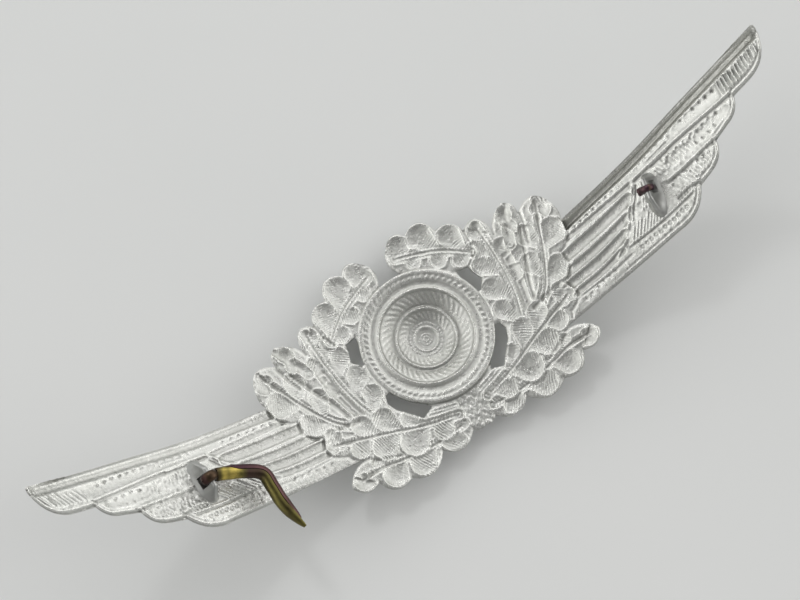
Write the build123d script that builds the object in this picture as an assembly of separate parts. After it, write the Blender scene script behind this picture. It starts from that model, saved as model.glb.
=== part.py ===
from build123d import *
import os
from math import asin, cos, degrees, sin

# Curved-back cap insignia, seen and modelled from its back: +Z points out of the back,
# X runs along the wing span and Y towards the top of the wreath. Lengths in millimetres.

# Driving dimensions of the stamping.
BEND_R = 74.3          # radius of the curved back, bent about a line parallel to Y
SHEET_T = 0.6          # thickness of the struck sheet
COCKADE_R = 10.2       # outer radius of the cockade's flat back rim
RIM_RISE = 0.6         # the rim stands this far behind the sheet's lowest line
RIM_T = 0.9            # thickness of the rim
RIM_GROOVE = (8.2, 1.1, 0.75)  # ring-shaped channel in the rim: ring radius, tube radius, tube height
DISH_R = 7.2           # where the cockade starts to dish towards the front
DISH_DEPTH = 3.2       # depth of the dish below the rim
DISH_WALL = 0.55       # thickness of the dish
DISH_STEPS = [         # radius and height of the dish from its edge down to its flat floor
    (DISH_R, -0.3), (6.3, -1.2), (5.1, -1.9), (4.6, -1.75), (4.1, -2.1), (3.0, -2.9), (2.2, -DISH_DEPTH),
]
LOBE_HOLLOW = 0.28     # depth of the hollow behind each leaf lobe
LOBE_BALL_R = 3.4      # radius of the ball that shapes those hollows
FLUTE_R = 0.75         # radius of the round bottom of a wing flute
FLUTE_DEPTH = 0.28     # depth of a wing flute
FUSE_LAP = 0.6         # how far the bent sheet runs in under the cockade's rim

# Driving dimensions of the lugs and the split pin.
# The lugs are set by hand, so each side (left -1, right 1) has its own place.
LUG_SPOT = {-1: (41.0, -1.9), 1: (39.7, -2.55)}  # arc length and height of the lug's middle
LUG_TURN = {-1: 0, 1: -14}  # turn of the ridge in the sheet, in degrees
WINDOW_Y = {-1: -0.35, 1: 1.2}  # window's offset from the lug's middle
LUG_LENGTH = 7.0       # foot of the tent-shaped lug, along Y
LUG_WIDTH = 3.3        # foot of the lug, across
LUG_HEIGHT = 2.6       # crest above the wing
BAR_T = 0.85           # crest bar left above the window, top to bottom
BAR_W = 0.76           # crest bar, across
CREST_HALF = 1.5       # half length of the level crest
SHOULDER_Z = 1.2       # the pinched crest widens into the foot below this height
SHOULDER_OUT = 0.1     # how far the shoulder stands out beyond the crest bar
FOOT_EDGE = 0.1        # height of the foot's edge
FOOT_DEPTH = 1.0       # how far the foot runs on into the sheet before it is trimmed
WINDOW_W = 2.1         # window under the bar, along Y
WINDOW_FLOOR = 0.35    # bottom of the window above the wing
EYE_R = 1.1            # mean radius of the pin's eye
EYE_WIRE_R = 0.45      # radius of the wire in the snapped pin's eye, half the strap's thickness
EYE_STRAP_W = 1.8      # width of the whole pin's eye, along the bar
PIN_R = 0.95           # radius of the closed pair of legs
PIN_POINT_R = 0.35     # radius at the pin's blunt point
PIN_POINT_L = 2.2      # length of the tapered point
PIN_BENDS = [          # knots of the legs' centre line after the eye, height measured from the bar
    (4.0, -1.6, 0.7), (6.9, -3.4, 1.1), (7.1, -6.0, 1.2), (7.1, -8.4, 1.2), (7.7, -10.9, 1.2),
]
SLIT_W = 0.12          # gap between the two legs
SLIT_START = 2.6       # where the legs part, measured from the lug
SLIT_KNOTS = 13        # points on the curve that the slit follows
SLIT_OVERRUN = 1.2     # the slit runs past the point by this factor
STUB_L = 0.8           # length left of the snapped pin beyond its eye
STUB_R = 0.66          # radius of the snapped root
SNAP_TILT = (20, 25, 30)  # how the broken end is turned, in degrees
SNAP_BLOCK = (0.9, 4.0, 4.0)  # block that breaks the end off

TALL = 80.0            # taller than the bent sheet
DISH_TOP = 8.0         # the tool that cuts the dish stands this high above the rim
BEND_SPAN = 1.05       # half angle of the bend that holds the whole stamping, in radians
OVERLAP = 1.0          # how far each half runs past the centre line before they are joined
BAR_Z = LUG_HEIGHT - BAR_T / 2

# Half outline of the wreath as notch, crown, notch, ... points (arc length, height).
WREATH_EDGE = [
    (2.2, 9.7), (1.2, 12.7), (3.4, 15.55), (4.7, 15.55), (5.6, 14.6),
    (8.2, 15.3), (9.9, 12.7), (12.1, 12.4), (13.4, 10.3), (15.4, 10.9),
    (16.9, 8.7), (16.95, 7.9), (16.8, 7.1), (17.7, 8.9), (20.3, 10.35),
    (21.5, 9.4), (21.6, 7.7), (24.8, 8.5), (26.5, 5.9), (26.75, 4.5), (26.4, 3.1),
]
LOWER_EDGE = [
    (17.4, -10.9), (20.3, -11.5), (22.0, -13.4), (20.3, -15.0), (18.1, -14.7),
    (16.5, -16.8), (13.5, -16.6), (10.7, -17.7), (7.4, -15.6),
    (5.2, -17.0), (2.0, -15.5), (1.1, -15.95), (0.0, -15.9),
]
# Wing outline: root, straight run and rounded end of each stepped feather, tip, leading edge.
WING_ROOT_LOW = (18.0, -10.55)
FEATHER_ENDS = [
    ((40.0, -8.8), (44.2, -7.8), (46.4, -5.5)),
    ((49.2, -4.8), (51.5, -3.4), (52.3, -1.75)),
    ((55.2, -1.0), (57.5, 0.1), (58.4, 1.55)),
    ((61.8, 1.85), (65.6, 3.3), (67.3, 6.3)),
]
WING_CORNER = (67.3, 7.1)
LEADING_EDGE = [(66.8, 7.5), (60.0, 7.0), (50.0, 6.0), (40.0, 4.6), (27.0, 3.1), (18.0, 1.9)]
# Gaps that show through between the cockade and the leaves.
UPPER_GAP = [(9.0, 5.7), (10.9, 5.3), (11.2, 4.0), (11.7, 2.7), (10.6, 1.3), (9.6, 1.4)]
LOWER_GAP = [
    (8.8, -4.1), (10.1, -4.2), (10.5, -5.5), (9.9, -6.9), (8.5, -8.4), (7.1, -10.1), (5.2, -9.3),
]
# Middles of the hollow lobes of one half of the wreath.
LOBES = [
    (3.5, 13.2), (7.3, 13.0), (11.2, 10.6), (15.2, 9.0), (12.9, 4.0), (12.2, 0.5),
    (16.2, 4.0), (19.9, 8.3), (24.3, 6.4), (24.0, 2.4), (12.0, -3.4), (12.6, -7.2),
    (18.8, -6.6), (10.2, -12.2), (14.5, -10.2), (19.6, -13.2), (15.2, -15.0),
    (10.6, -15.8), (5.2, -15.2), (5.2, -11.8),
]
# Wing flutes: inner and outer arc length, height at the inner end, rise per unit length.
FLUTES = [
    (29.0, 65.0, 2.35, 0.135), (27.5, 37.5, -1.0, 0.085),
    (24.5, 35.0, -3.7, 0.075), (23.5, 32.5, -6.3, 0.070),
]


def plan(s, y):
    """Plan position of the point at arc length s from the centre line."""
    return (BEND_R * sin(s / BEND_R), y)


def mirrored(side, points):
    """Plan positions of outline points, on the right (side 1) or left (side -1)."""
    return [plan(side * s, y) for s, y in points]


def scallops(side, points):
    """Curves through each notch, crown, notch of a scalloped edge."""
    spots = mirrored(side, points)
    return [Spline(*spots[i:i + 3]) for i in range(0, len(spots) - 2, 2)]


def band(inner_r, outer_r):
    """Bent band between two radii about the bend's axis, wider than the stamping."""
    rims = []
    for r in (inner_r, outer_r):
        x, z = r * sin(BEND_SPAN), -r * cos(BEND_SPAN)
        rims.append(ThreePointArc((-x, z), (0, -r), (x, z)))
    ends = [Line(rims[0] @ i, rims[1] @ i) for i in (0, 1)]
    return Pos(0, 0, BEND_R - RIM_RISE) * extrude(Plane.XZ * make_face(rims + ends), TALL / 2, both=True)


def wreath_half(side):
    """Scalloped leaf outline from the cockade's top to the knot, with its two open gaps."""
    top, bottom = WREATH_EDGE[0], LOWER_EDGE[-1]
    flank = Line(*mirrored(side, [WREATH_EDGE[-1], LOWER_EDGE[0]]))
    middle = Polyline(*mirrored(side, [bottom, (-OVERLAP, bottom[1]), (-OVERLAP, top[1]), top]))
    face = make_face(scallops(side, WREATH_EDGE) + [flank] + scallops(side, LOWER_EDGE) + [middle])
    for gap in (UPPER_GAP, LOWER_GAP):
        face -= make_face(Polyline(*mirrored(side, gap), close=True))
    return face


def wing(side):
    """Wing with four stepped feather ends along its lower edge."""
    edges = []
    here = WING_ROOT_LOW
    for start, crown, end in FEATHER_ENDS:
        edges.append(Line(*mirrored(side, [here, start])))
        edges.append(Spline(*mirrored(side, [start, crown, end])))
        here = end
    edges.append(Spline(*mirrored(side, [here, WING_CORNER, LEADING_EDGE[0]])))
    edges.append(Spline(*mirrored(side, LEADING_EDGE)))
    edges.append(Line(*mirrored(side, [LEADING_EDGE[-1], WING_ROOT_LOW])))
    return make_face(edges)


def dish_profile(wall):
    """Half section of the cockade's dish, wall mm below the back surface."""
    steps = [(r, z - wall) for r, z in DISH_STEPS]
    return Polyline((DISH_R, DISH_TOP), *steps, (0, steps[-1][1]), (0, DISH_TOP), close=True)


def dish(wall):
    """Round plug with the dish's shape."""
    return revolve(make_face(Plane.XZ * dish_profile(wall)), Axis.Z)


def rim_groove():
    """Ring-shaped channel between the cockade's beaded edge and its dish."""
    ring_r, tube_r, z = RIM_GROOVE
    return Pos(0, 0, z) * Torus(ring_r, tube_r)


def lobe_hollows(side):
    """Balls that hollow each lobe of the leaves on one side."""
    lift = LOBE_BALL_R - LOBE_HOLLOW
    return [surface_plane(side * s, y) * Pos(0, 0, lift) * Sphere(LOBE_BALL_R) for s, y in LOBES]


def flute(side, inner, outer, y, rise):
    """Long round-bottomed channel that follows the bend of a wing."""
    (x0, _), (x1, _) = plan(inner, 0), plan(outer, 0)
    ring_r = BEND_R - FLUTE_R + FLUTE_DEPTH
    ring = Pos(-side * x0, 0, 0) * Rot(90, 0, 0) * Torus(ring_r, FLUTE_R)
    tilted = Rot(0, 0, side * degrees(asin(rise))) * ring
    tilted = Pos(side * x0, y, BEND_R - RIM_RISE) * tilted
    window = Pos(side * (x0 + x1) / 2, 0, 0) * Box(x1 - x0, TALL, TALL)
    return tilted & window


def surface_plane(s, y):
    """Plane on the sheet's back, x along the span, z out of the back."""
    turn = s / BEND_R
    spot = (BEND_R * sin(turn), y, BEND_R * (1 - cos(turn)) - RIM_RISE)
    return Plane(origin=spot, x_dir=(cos(turn), 0, sin(turn)), z_dir=(-sin(turn), 0, cos(turn)))


def bent_half(side):
    """One half wreath and its wing, cut from the bent sheet, with hollows and flutes."""
    struck = band(BEND_R, BEND_R + SHEET_T)
    leaves = extrude(wreath_half(side), TALL / 2, both=True) & struck
    feathers = extrude(wing(side), TALL / 2, both=True) & struck
    half = leaves + feathers - lobe_hollows(side)
    for run in FLUTES:
        half -= flute(side, *run)
    return half - Cylinder(COCKADE_R - FUSE_LAP, TALL)


def stamping():
    """Struck sheet: two wings, two half wreaths and the dished cockade."""
    rim = Pos(0, 0, -RIM_T / 2) * Cylinder(COCKADE_R, RIM_T)
    front_dish = dish(DISH_WALL) & Pos(0, 0, -TALL / 2) * Box(TALL, TALL, TALL)
    body = bent_half(-1) + bent_half(1) + rim + front_dish
    return body - dish(0) - rim_groove()


def lug(window_y):
    """Tent-shaped lug in its own frame: foot at z = 0, ridge along y, window under the crest."""
    reach, half_w, bar = LUG_LENGTH / 2, LUG_WIDTH / 2, BAR_W / 2
    side = Plane.YZ * make_face(Polyline(
        (-reach, -FOOT_DEPTH), (-reach, 0),
        (window_y - CREST_HALF, LUG_HEIGHT), (window_y + CREST_HALF, LUG_HEIGHT),
        (reach, 0), (reach, -FOOT_DEPTH), close=True,
    ))
    slope = [(bar, LUG_HEIGHT), (bar + SHOULDER_OUT, SHOULDER_Z), (half_w, FOOT_EDGE), (half_w, -FOOT_DEPTH)]
    front = Plane.XZ * make_face(Polyline(*slope, *((-x, z) for x, z in slope[::-1]), close=True))
    tent = extrude(side, LUG_WIDTH, both=True) & extrude(front, LUG_LENGTH, both=True)
    top = LUG_HEIGHT - BAR_T
    window = Pos(0, window_y, (top + WINDOW_FLOOR) / 2) * Box(LUG_WIDTH * 2, WINDOW_W, top - WINDOW_FLOOR)
    return tent - window


def strap_eye(window_y):
    """Flat loop of the whole split pin around its lug's crest bar."""
    loop = Cylinder(EYE_R + EYE_WIRE_R, EYE_STRAP_W) - Cylinder(EYE_R - EYE_WIRE_R, EYE_STRAP_W)
    return Pos(0, window_y, BAR_Z) * Rot(90, 0, 0) * loop


def wire_eye(window_y):
    """What is left of the snapped pin's loop around its crest bar."""
    return Pos(0, window_y, BAR_Z) * Rot(90, 0, 0) * Torus(EYE_R, EYE_WIRE_R)


def pin_path(window_y):
    """Centre line of the bent legs, from the eye to the start of the point."""
    return Spline((EYE_R, window_y, BAR_Z), *((x, y, BAR_Z + rise) for x, y, rise in PIN_BENDS))


def split_pin(window_y):
    """Whole split pin: eye, two half-round legs in an S-bend, blunt point."""
    path = pin_path(window_y)
    start = Plane(origin=path @ 0, z_dir=path % 0)
    end = Plane(origin=path @ 1, z_dir=path % 1)
    legs = sweep(start * Circle(PIN_R), path)
    taper = loft([end * Circle(PIN_R), end.offset(PIN_POINT_L) * Circle(PIN_POINT_R)])
    knots = [path @ (i / (SLIT_KNOTS - 1)) for i in range(SLIT_KNOTS)]
    knots.append(path @ 1 + (path % 1) * PIN_POINT_L * SLIT_OVERRUN)
    slit = extrude(trace(Spline([(v.X, v.Y) for v in knots]), SLIT_W), TALL)
    slit -= Box(2 * SLIT_START, TALL, 3 * TALL)
    hole = Pos(0, window_y, BAR_Z) * Rot(90, 0, 0) * Cylinder(EYE_R - EYE_WIRE_R, TALL)
    return strap_eye(window_y) + (legs + taper - slit - hole)


def pin_stub(window_y):
    """Eye and snapped roots that are left of the second split pin."""
    root = Pos(-EYE_R - STUB_L / 2, window_y, BAR_Z) * Rot(0, 90, 0) * Cylinder(STUB_R, STUB_L)
    snap = Pos(-EYE_R - STUB_L, window_y, BAR_Z) * Rot(*SNAP_TILT) * Box(*SNAP_BLOCK)
    return wire_eye(window_y) + root - snap


def place(shape, side):
    """Shape moved from a lug's own frame to its wing."""
    s, y = LUG_SPOT[side]
    return surface_plane(side * s, y) * Rot(0, 0, LUG_TURN[side]) * shape


def write(name, shape):
    """Exports one sub-part as parts/name.step."""
    export_step(shape, f"parts/{name}.step")


def main():
    """Exports the stamping, both lugs, the split pin and the pin stub."""
    os.makedirs("parts", exist_ok=True)
    behind = band(BEND_R / 2, BEND_R)
    write("wreath_and_wings", stamping())
    write("left_lug", place(lug(WINDOW_Y[-1]), -1) & behind)
    write("right_lug", place(lug(WINDOW_Y[1]), 1) & behind)
    write("left_split_pin", place(split_pin(WINDOW_Y[-1]), -1))
    write("right_pin_stub", place(pin_stub(WINDOW_Y[1]), 1))


main()
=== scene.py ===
import math

import bpy
import numpy as np
from mathutils import Matrix, Vector


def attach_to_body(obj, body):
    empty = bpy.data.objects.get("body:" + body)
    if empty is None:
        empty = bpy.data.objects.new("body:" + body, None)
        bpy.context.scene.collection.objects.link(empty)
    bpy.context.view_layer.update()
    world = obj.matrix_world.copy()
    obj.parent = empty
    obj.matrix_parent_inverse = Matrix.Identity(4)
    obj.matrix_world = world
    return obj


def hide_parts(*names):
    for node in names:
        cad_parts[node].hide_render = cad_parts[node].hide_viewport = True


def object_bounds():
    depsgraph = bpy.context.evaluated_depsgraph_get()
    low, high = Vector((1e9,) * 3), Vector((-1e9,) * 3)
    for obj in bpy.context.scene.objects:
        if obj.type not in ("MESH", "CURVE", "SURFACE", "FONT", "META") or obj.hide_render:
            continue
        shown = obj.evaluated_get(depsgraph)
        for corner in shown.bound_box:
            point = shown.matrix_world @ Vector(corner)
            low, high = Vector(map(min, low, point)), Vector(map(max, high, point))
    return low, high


# Looks of the curved cap insignia, seen from its back. Lengths below are millimetres unless a name
# says otherwise, and meshes are scaled by MM into the frame's metres. The relief is worked out on
# the flat sheet, as a height h towards the back over arc length s and height y, and then bent.
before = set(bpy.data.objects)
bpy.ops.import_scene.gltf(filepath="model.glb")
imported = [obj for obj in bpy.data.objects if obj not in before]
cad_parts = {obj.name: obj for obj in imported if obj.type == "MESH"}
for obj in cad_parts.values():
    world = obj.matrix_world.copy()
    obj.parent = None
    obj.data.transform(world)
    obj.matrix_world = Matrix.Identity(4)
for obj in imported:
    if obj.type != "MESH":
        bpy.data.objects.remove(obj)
cad_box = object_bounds()
MM = 0.001

# Sheet and cockade, the same driving sizes as the CAD.
BEND_R = 74.3
RIM_RISE = 0.6   # cockade's rim above the sheet's lowest line
SHEET_T = 0.6
COCKADE_R = 10.2

# Lugs and split pins, in a lug's own frame. Left is -1 and right is 1.
LUG_SPOT = {-1: (41.0, -1.9), 1: (39.7, -2.55)}
LUG_TURN = {-1: 0.0, 1: math.radians(-14)}
LUG_LENGTH, LUG_WIDTH, LUG_HEIGHT = 7.0, 3.3, 2.6
BAR_T = 0.85
WINDOW_W, WINDOW_FLOOR = 1.85, 0.5
WINDOW_Y = {-1: -0.35, 1: 1.2}
CREST_HALF = 1.5     # half length of the level crest
CREST_SHARE = 0.12   # part of the cross-section that is the crest
LUG_SUNK = 0.12      # how deep the foot is let into the sheet
BAR_Z = LUG_HEIGHT - BAR_T / 2
EYE_INNER_R = 0.66
EYE_WIRE_T = {True: 0.7, False: 0.5}   # thickness of a whole and of a snapped pin's eye
PIN_R = 0.95
PIN_GAP = 0.12   # between the two legs
LEG_LEAN = 0.04  # extra spread of each leg towards the point

# Relief grid of one half.
STEP = 0.1
GRID_S = 67.65
GRID_Y = (-18.3, 16.2)
MARGIN = 1.5       # how far the outlines run past the centre line

# Leaves and the sheet's edge.
VEIN_LAG = 0.9     # how far down the midrib a lobe starts, per mm beside it
LOBE_SOFT = 0.95   # width of a lobe's hollow flank, in lobe radii
LOBE_DEPTH = 0.85  # share of the lobes' depths below
MERGE = 0.75       # 0 keeps the lobes apart, 1 runs them into one dish
DISH_FLANK = 1.5   # width of that dish's flank
LEAF_LIP = 0.12    # raised edge of a leaf
EDGE_ROLL = 0.4    # width of the sheet's rolled edge
EDGE_DROP = 0.16   # and its depth


# ---------------------------------------------------------------- outline

WREATH_EDGE = [
    (2.2, 9.7), (1.2, 12.7), (3.4, 15.55), (4.7, 15.55), (5.6, 14.6),
    (8.2, 15.3), (9.9, 12.7), (12.1, 12.4), (13.4, 10.3), (15.4, 10.9),
    (16.9, 8.7), (16.95, 7.9), (16.8, 7.1), (17.7, 8.9), (20.3, 10.35),
    (21.5, 9.4), (21.6, 7.7), (24.8, 8.5), (26.5, 5.9), (26.75, 4.5), (26.4, 3.1),
]
LOWER_EDGE = [
    (17.4, -10.9), (20.3, -11.5), (22.0, -13.4), (20.3, -15.0), (18.1, -14.7),
    (16.5, -16.8), (13.5, -16.6), (10.7, -17.7), (7.4, -15.6),
    (5.2, -17.0), (2.0, -15.5), (1.1, -15.95), (0.0, -15.9),
]
FLANK_EDGE = [
    (26.4, 3.1), (25.9, 0.9), (23.3, -0.8), (23.5, -2.9), (21.2, -4.9),
    (22.1, -6.9), (19.6, -8.9), (18.9, -10.2), (17.4, -10.9),
]
WING_ROOT_LOW = (18.0, -10.55)
FEATHER_ENDS = [
    ((40.0, -8.8), (44.2, -7.8), (46.4, -5.5)),
    ((49.2, -4.8), (51.5, -3.4), (52.3, -1.75)),
    ((55.2, -1.0), (57.5, 0.1), (58.4, 1.55)),
    ((61.8, 1.85), (65.6, 3.3), (67.3, 6.3)),
]
WING_CORNER = (67.3, 7.1)
LEADING_EDGE = [(66.8, 7.5), (60.0, 7.0), (50.0, 6.0), (40.0, 4.6), (27.0, 3.1), (18.0, 1.9)]
UPPER_GAP = [(9.0, 5.7), (10.9, 5.3), (11.2, 4.0), (11.7, 2.7), (10.6, 1.3), (9.6, 1.4)]
LOWER_GAP = [
    (8.8, -4.1), (10.1, -4.2), (10.5, -5.5), (9.9, -6.9), (8.5, -8.4), (7.1, -10.1), (5.2, -9.3),
]


def arc(a, b, c, count=9):
    """Points of the parabola that starts at a, passes b and ends at c."""
    a, b, c = (np.array(p, float) for p in (a, b, c))
    first, second = np.linalg.norm(b - a), np.linalg.norm(c - b)
    m = first / (first + second)
    t = np.linspace(0, 1, count)[:, None]
    return a * (t - m) * (t - 1) / m + b * t * (t - 1) / (m * (m - 1)) + c * t * (t - m) / (1 - m)


def scallops(points):
    """One polyline through each notch, crown, notch of a scalloped edge."""
    return np.concatenate([arc(*points[i:i + 3])[:-1] for i in range(0, len(points) - 2, 2)])


def smooth(points, count=8):
    """Catmull-Rom curve through a few points."""
    p = np.array(points, float)
    p = np.concatenate([[2 * p[0] - p[1]], p, [2 * p[-1] - p[-2]]])
    t = np.linspace(0, 1, count, endpoint=False)[:, None]
    runs = []
    for a, b, c, d in zip(p, p[1:], p[2:], p[3:]):
        runs.append(0.5 * (2 * b + (c - a) * t + (2 * a - 5 * b + 4 * c - d) * t ** 2
                           + (3 * b - a - 3 * c + d) * t ** 3))
    return np.concatenate(runs + [p[-2:-1]])


def wreath_loop():
    """Closed outline of a half wreath, running a little past the centre line."""
    past = [(-MARGIN, LOWER_EDGE[-1][1]), (-MARGIN, WREATH_EDGE[0][1])]
    edges = [scallops(edge) for edge in (WREATH_EDGE, FLANK_EDGE, LOWER_EDGE)]
    return np.concatenate(edges + [[LOWER_EDGE[-1]], past])


def wing_loop():
    """Closed outline of a wing with its four stepped feather ends."""
    parts = [[WING_ROOT_LOW]]
    for start, crown, end in FEATHER_ENDS:
        parts.append(arc(start, crown, end))
    parts.append(arc(FEATHER_ENDS[-1][-1], WING_CORNER, LEADING_EDGE[0])[1:-1])
    parts.append(smooth(LEADING_EDGE))
    return np.concatenate(parts)


def signed_distance(s, y, loop):
    """Distance to a closed outline, positive inside."""
    nearest = np.full(s.shape, 1e9)
    inside = np.zeros(s.shape, bool)
    for (ax, ay), (bx, by) in zip(loop, np.roll(loop, -1, axis=0)):
        ex, ey = bx - ax, by - ay
        t = np.clip(((s - ax) * ex + (y - ay) * ey) / (ex * ex + ey * ey), 0, 1)
        nearest = np.minimum(nearest, (s - ax - t * ex) ** 2 + (y - ay - t * ey) ** 2)
        if ey:
            inside ^= ((ay > y) != (by > y)) & (s < ax + (y - ay) * ex / ey)
    return np.where(inside, 1, -1) * np.sqrt(nearest)


# ---------------------------------------------------------------- relief tools

def ease(t):
    """Smooth 0 to 1."""
    t = np.clip(t, 0, 1)
    return t * t * (3 - 2 * t)


def round_bottom(q, power=0.75):
    """Cross-section of a round-bottomed hollow: 1 in the middle, 0 at its lip."""
    return np.clip(1 - q * q, 0, 1) ** power


def mottle(shape, cell, rng):
    """Smooth random field between -1 and 1, with blobs of about cell grid steps."""
    rows, cols = (n // cell + 3 for n in shape)
    coarse = rng.uniform(-1, 1, (rows, cols))
    r, c = np.arange(shape[0]) / cell, np.arange(shape[1]) / cell
    i, j = r.astype(int), c.astype(int)
    u, v = ease(r - i)[:, None], ease(c - j)[None, :]
    top = coarse[i][:, j] * (1 - v) + coarse[i][:, j + 1] * v
    low = coarse[i + 1][:, j] * (1 - v) + coarse[i + 1][:, j + 1] * v
    return top * (1 - u) + low * u


def blur(field):
    """Field smoothed over its next neighbours."""
    out = field.copy()
    out[1:-1] = (field[:-2] + 2 * field[1:-1] + field[2:]) / 4
    field = out.copy()
    out[:, 1:-1] = (field[:, :-2] + 2 * field[:, 1:-1] + field[:, 2:]) / 4
    return out


class Relief:
    """Back relief of one half: hollows are kept as a depth, and fine work is added on top."""

    def __init__(self, side, seed):
        self.side = side
        self.s_line = np.arange(0, GRID_S, STEP)
        self.y_line = np.arange(*GRID_Y, STEP)
        self.s, self.y = np.meshgrid(self.s_line, self.y_line)
        self.depth = np.zeros(self.s.shape)
        self.fine = np.zeros(self.s.shape)
        self.rim = np.zeros(self.s.shape)
        self.rng = np.random.default_rng(seed)

    def window(self, points, margin):
        """Slices of the grid round some points."""
        p = np.array(points, float).reshape(-1, 2)
        lo, hi = p.min(0) - margin, p.max(0) + margin
        cols = slice(*np.searchsorted(self.s_line, (lo[0], hi[0])))
        rows = slice(*np.searchsorted(self.y_line, (lo[1], hi[1])))
        return rows, cols

    def along(self, path, margin):
        """Window round a path, with distance along it and signed distance beside it."""
        w = self.window(path, margin)
        s, y = self.s[w], self.y[w]
        u, v = np.zeros(s.shape), np.full(s.shape, 1e9)
        start = 0.0
        for (ax, ay), (bx, by) in zip(path, path[1:]):
            ex, ey = bx - ax, by - ay
            length = math.hypot(ex, ey)
            t = np.clip(((s - ax) * ex + (y - ay) * ey) / length ** 2, 0, 1)
            gap = np.hypot(s - ax - t * ex, y - ay - t * ey)
            closer = gap < np.abs(v)
            left = ((y - ay) * ex - (s - ax) * ey) > 0
            v = np.where(closer, np.where(left, gap, -gap), v)
            u = np.where(closer, start + t * length, u)
            start += length
        return w, u, v, start

    def petal(self, base, tip, r0, r1, soft):
        """How far points lie inside a petal that widens from base to tip, and its hollow from 0 to 1."""
        (ax, ay), (bx, by) = base, tip
        ex, ey = bx - ax, by - ay
        t = np.clip(((self.s - ax) * ex + (self.y - ay) * ey) / (ex * ex + ey * ey + 1e-9), 0, 1)
        inside = r0 + (r1 - r0) * t - np.hypot(self.s - ax - t * ex, self.y - ay - t * ey)
        return inside, 1 - (1 - np.clip(inside / soft, 0, 1)) ** 2

    def groove(self, points, half_width, depth, power=0.6, clean=False, steep=1.0):
        """Round-bottomed channel along a curve. half_width and depth may be (start, end) pairs."""
        path = smooth(points)
        w0, w1 = np.broadcast_to(half_width, 2)
        d0, d1 = np.broadcast_to(depth, 2)
        w, u, v, total = self.along(path, max(w0, w1) * 1.1)
        t = u / total
        q = v / (w0 + (w1 - w0) * t)
        q = np.where(q < 0, q * steep, q)
        shape = round_bottom(q, power)
        self.depth[w] = np.maximum(self.depth[w], (d0 + (d1 - d0) * t) * shape)
        if clean:
            self.fine[w] *= 1 - shape

    def stroke(self, points, width, height, curve=True):
        """Raised (height above 0) or cut (below 0) line."""
        path = smooth(points) if curve else points
        w, _, v, _ = self.along(path, width * 2.5)
        self.fine[w] += height * np.exp(-(v / width) ** 2)

    def beads(self, points, pitch, r, height, ring=False):
        """Row of dots, or of small rings, along a curve."""
        path = smooth(points)
        steps = np.concatenate([[0], np.cumsum(np.hypot(*np.diff(path, axis=0).T))])
        for u in np.arange(0, steps[-1] + 1e-6, pitch):
            s = np.interp(u, steps, path[:, 0]) + self.rng.normal(0, 0.05)
            y = np.interp(u, steps, path[:, 1]) + self.rng.normal(0, 0.05)
            w = self.window([(s, y)], r * 2.2)
            q = np.hypot(self.s[w] - s, self.y[w] - y) / r
            shape = np.exp(-((q - 0.9) / 0.4) ** 2) if ring else np.exp(-q ** 2)
            self.fine[w] += height * self.rng.uniform(0.75, 1.2) * shape

    def barbs(self, points, pitch, length, lean, width, height):
        """Short strokes that stand on a curve, lean mm sideways over their length."""
        path = smooth(points)
        steps = np.concatenate([[0], np.cumsum(np.hypot(*np.diff(path, axis=0).T))])
        for u in np.arange(0, steps[-1], pitch):
            s, y = np.interp(u, steps, path[:, 0]), np.interp(u, steps, path[:, 1])
            reach = length * self.rng.uniform(0.8, 1.1)
            tip = (s + lean * reach / length + self.rng.normal(0, 0.06), y + reach)
            self.stroke([(s, y), tip], width, height * self.rng.uniform(0.7, 1.2), curve=False)

    def leaf(self, midrib, lobes, stem=(0.5, 0.8), hatch=0.09, pitch=0.44, slope=0.9, rib=0.1):
        """Lobed leaf over what is there: petals from the midrib to each lobe, veined towards the tip."""
        path = smooth(midrib)
        w, u, v, total = self.along(path, 7.0)
        inside = np.full(self.s.shape, -9.0)
        hollow = np.zeros(self.s.shape)
        well = np.zeros(self.s.shape)
        shares = np.full(self.s.shape, 0.08)
        polished = np.zeros(self.s.shape)
        stem_r = stem[0] + (stem[1] - stem[0]) * u / total
        inside[w] = stem_r - np.abs(v)
        hollow[w] = 0.35 * round_bottom(np.abs(v) / stem_r, 0.5)
        steps = np.concatenate([[0], np.cumsum(np.hypot(*np.diff(path, axis=0).T))])
        for s, y, r, depth, polish in lobes:
            near = np.hypot(path[:, 0] - s, path[:, 1] - y)
            root = min(steps[near.argmin()] + VEIN_LAG * near.min(), total)
            base = (np.interp(root, steps, path[:, 0]), np.interp(root, steps, path[:, 1]))
            edge, bowl = self.petal(base, (s, y), 0.5 * r, r, LOBE_SOFT * r)
            inside = np.maximum(inside, edge)
            reach = np.hypot(self.s - s, self.y - y) / r
            lobe = LOBE_DEPTH * depth * (0.45 + 0.65 * ease(1.8 - reach))
            share = np.exp(-1.2 * reach ** 2)
            well += share * lobe
            shares += share
            hollow = np.cbrt(hollow ** 3 + (lobe * bowl) ** 3)
            polished = np.maximum(polished, polish * round_bottom(reach, 0.5))
        dish = 1 - (1 - np.clip(inside / DISH_FLANK, 0, 1)) ** 2
        hollow += MERGE * (dish * well / shares - hollow)
        work = np.zeros(self.s.shape)
        wobble = 0.35 * mottle(u.shape, 14, self.rng)
        wave = np.cos(2 * np.pi * ((u - np.abs(v) * slope) / pitch + wobble))
        strength = hatch * (0.8 + 0.9 * mottle(u.shape, 8, self.rng))
        work[w] += strength * wave * (1 - polished[w]) * ease(np.abs(v) / 0.5)
        ends = ease(u / 0.8) * ease((total - u) / 1.0)
        lips = np.exp(-((np.abs(v) - 0.3) / 0.16) ** 2) * (1 + 0.35 * np.cos(2 * np.pi * u / 0.55))
        work[w] += rib * ends * (lips - 0.8 * np.exp(-(v / 0.18) ** 2))
        cover = ease(inside / 0.25 + 0.5)
        self.depth = self.depth * (1 - cover) + hollow * cover
        self.fine = self.fine * (1 - cover) + work * cover
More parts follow.
